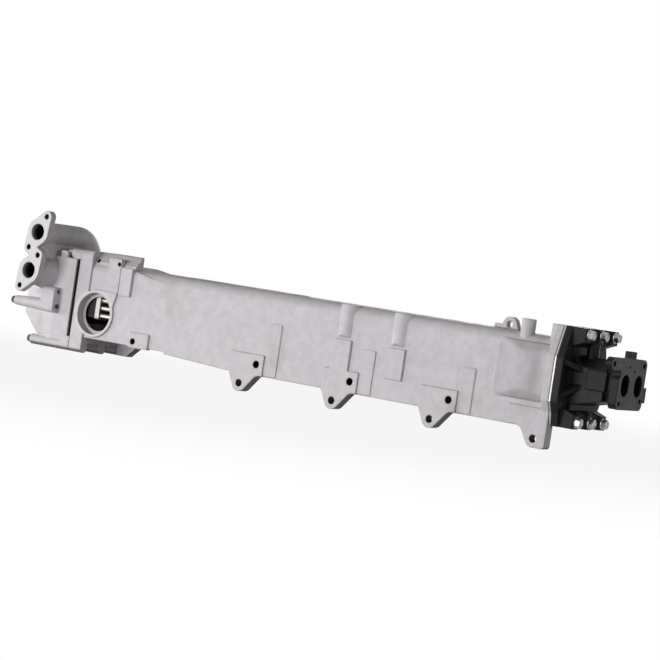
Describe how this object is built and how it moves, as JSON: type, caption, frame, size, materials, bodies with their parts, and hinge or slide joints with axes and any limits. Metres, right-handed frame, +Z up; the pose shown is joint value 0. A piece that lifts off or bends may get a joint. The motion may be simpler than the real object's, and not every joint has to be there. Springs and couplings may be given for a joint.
{
  "type": "egr cooler",
  "caption": "Long cast-aluminium exhaust gas recirculation cooler: lugged water jacket round a finned flat-tube core, black iron inlet diffuser, outlet cover with elbow pipe and port flange.",
  "frame": {"origin": "on the lug faces, midway along the row of lug holes", "axes": "+X along the length to the hot inlet end, +Y from the lug faces into the housing, +Z up"},
  "size_m": [1.052, 0.161, 0.2212],
  "materials": {
    "cast_aluminium": "as cast, blasted, with machined faces",
    "black_iron": "black coat, bare machined inlet face",
    "gasket": "matte",
    "joint_sheet": "dark coated sheet",
    "stainless": "rolled sheet",
    "collector": "dark heat tint",
    "seal": "matte",
    "zinc_bolt": "bright zinc",
    "dark_bolt": "dark coat"
  },
  "bodies": {
    "root": {"housing": "cast_aluminium", "outlet_cover": "cast_aluminium", "cover_gasket": "gasket", "inlet_diffuser": "black_iron", "coolant_gasket": "joint_sheet", "gas_gasket": "joint_sheet", "hot_header": "stainless", "cold_header": "stainless", "cold_collector": "collector", "collector_seal": "seal", "inlet_bolts": "zinc_bolt", "cover_bolts_top": "zinc_bolt", "cover_bolts_long": "dark_bolt", "boss_bolt": "dark_bolt", "tube_1": "stainless", "tube_2": "stainless", "tube_3": "stainless", "tube_4": "stainless", "tube_5": "stainless", "tube_6": "stainless", "fin_1": "stainless", "fin_2": "stainless", "fin_3": "stainless", "fin_4": "stainless", "fin_5": "stainless", "fin_6": "stainless", "baffle_1": "stainless", "baffle_2": "stainless", "baffle_3": "stainless", "baffle_4": "stainless"}
  },
  "joints": []
}
